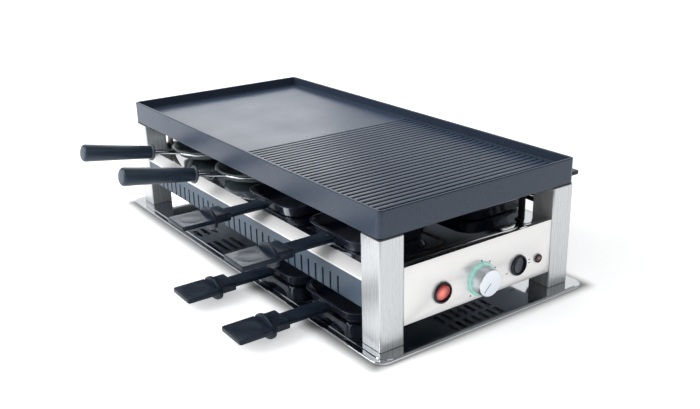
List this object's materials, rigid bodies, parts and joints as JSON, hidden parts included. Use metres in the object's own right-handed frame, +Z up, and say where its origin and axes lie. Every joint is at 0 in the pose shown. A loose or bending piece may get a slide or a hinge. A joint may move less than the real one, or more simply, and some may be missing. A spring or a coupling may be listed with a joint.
{
  "type": "raclette grill",
  "caption": "Table raclette grill: lift-off half-ribbed plate on square posts over a heated bay with slide-out pans and mini woks, control panel and pan-parking tray.",
  "frame": {"origin": "on the table plane under the centre of the grill plate", "axes": "+Z up; +X along the plate's long side towards the control panel; -Y towards the long side that the woks and the near pans slide out of"},
  "size_m": [0.5594, 0.4626, 0.1417],
  "materials": {
    "brushed_steel": "brushed stainless sheet",
    "mirror_steel": "mirror-polished stainless sheet",
    "skirt_paint": "satin blue-grey paint",
    "plate_coating": "cast, satin slate non-stick coating",
    "pan_enamel": "glossy black non-stick",
    "wok_coating": "satin dark grey non-stick",
    "handle_plastic": "satin black heat-proof plastic",
    "wire_chrome": "bright wire",
    "black_plastic": "glossy black",
    "foot_rubber": "matte black",
    "knob_silver": "satin silver",
    "ring_green": "translucent green",
    "rocker_red": "translucent red",
    "lamp_red": "translucent dark red",
    "element_steel": "heat-darkened sheath",
    "carrier_steel": "dark sheet steel",
    "screw_steel": "plated",
    "ceramic": "unglazed, off-white",
    "wire_sleeve": "silicone sleeve",
    "fuse_aluminium": "satin"
  },
  "bodies": {
    "grill_base": {"base_tray": "mirror_steel", "control_panel": "brushed_steel", "cord_gland": "black_plastic", "element_carrier_left": "carrier_steel", "element_carrier_right": "carrier_steel", "foot_1": "foot_rubber", "foot_2": "foot_rubber", "foot_3": "foot_rubber", "foot_4": "foot_rubber", "heating_element": "element_steel", "housing_skirt": "skirt_paint", "indicator_lamp": "lamp_red", "knob_ring": "ring_green", "post_1": "brushed_steel", "post_2": "brushed_steel", "post_3": "brushed_steel", "post_4": "brushed_steel", "post_cap_1": "black_plastic", "post_cap_2": "black_plastic", "post_cap_3": "black_plastic", "post_cap_4": "black_plastic", "power_switch_body": "black_plastic", "rear_panel": "brushed_steel", "selector_switch_body": "black_plastic", "shelf": "mirror_steel", "terminal_block": "ceramic", "thermal_fuse": "fuse_aluminium", "thermostat_body": "carrier_steel", "wire_feed": "wire_sleeve", "wire_fuse_to_element": "wire_sleeve", "wire_return": "wire_sleeve", "wire_thermostat_to_fuse": "wire_sleeve"},
    "plate": {"grill_plate": "plate_coating"},
    "knob_and_shaft": {"knob": "knob_silver", "thermostat_shaft": "screw_steel"},
    "power_rocker": {"power_switch_rocker": "rocker_red"},
    "selector_rocker": {"selector_switch_rocker": "black_plastic"},
    "pan_1": {"raclette_pan_1": "pan_enamel", "pan_handle_1": "handle_plastic", "pan_screw_1": "screw_steel"},
    "pan_2": {"raclette_pan_2": "pan_enamel", "pan_handle_2": "handle_plastic", "pan_screw_2": "screw_steel"},
    "pan_3": {"raclette_pan_3": "pan_enamel", "pan_handle_3": "handle_plastic", "pan_screw_3": "screw_steel"},
    "pan_4": {"raclette_pan_4": "pan_enamel", "pan_handle_4": "handle_plastic", "pan_screw_4": "screw_steel"},
    "pan_5": {"raclette_pan_5": "pan_enamel", "pan_handle_5": "handle_plastic", "pan_screw_5": "screw_steel"},
    "wok_1": {"wok_bowl_1": "wok_coating", "wok_frame_1": "wire_chrome", "wok_handle_1": "handle_plastic"},
    "wok_2": {"wok_bowl_2": "wok_coating", "wok_frame_2": "wire_chrome", "wok_handle_2": "handle_plastic"}
  },
  "joints": [
    {"name": "plate_lift", "type": "slide", "parent": "grill_base", "child": "plate", "axis": [0, 0, 1], "range_m": [0, 0.06]},
    {"name": "knob_turn", "type": "hinge", "parent": "grill_base", "child": "knob_and_shaft", "pos_m": [0.264, 0, 0.0428], "axis": [-1, 0, 0], "range_deg": [0, 270]},
    {"name": "power_rocker_tip", "type": "hinge", "parent": "grill_base", "child": "power_rocker", "pos_m": [0.2636, -0.0498, 0.0428], "axis": [0, -1, 0], "range_deg": [0, 16]},
    {"name": "selector_rocker_tip", "type": "hinge", "parent": "grill_base", "child": "selector_rocker", "pos_m": [0.2636, 0.0513, 0.0428], "axis": [0, 0, -1], "range_deg": [0, 16]},
    {"name": "pan_1_slide", "type": "slide", "parent": "grill_base", "child": "pan_1", "axis": [0, -1, 0], "range_m": [0, 0.13]},
    {"name": "pan_2_slide", "type": "slide", "parent": "grill_base", "child": "pan_2", "axis": [0, -1, 0], "range_m": [0, 0.13]},
    {"name": "pan_3_slide", "type": "slide", "parent": "grill_base", "child": "pan_3", "axis": [0, -1, 0], "range_m": [0, 0.13]},
    {"name": "pan_4_slide", "type": "slide", "parent": "grill_base", "child": "pan_4", "axis": [0, -1, 0], "range_m": [0, 0.13]},
    {"name": "pan_5_slide", "type": "slide", "parent": "grill_base", "child": "pan_5", "axis": [0, 1, 0], "range_m": [0, 0.13]},
    {"name": "wok_1_slide", "type": "slide", "parent": "grill_base", "child": "wok_1", "axis": [0, -1, 0], "range_m": [0, 0.13]},
    {"name": "wok_2_slide", "type": "slide", "parent": "grill_base", "child": "wok_2", "axis": [0, -1, 0], "range_m": [0, 0.13]}
  ]
}
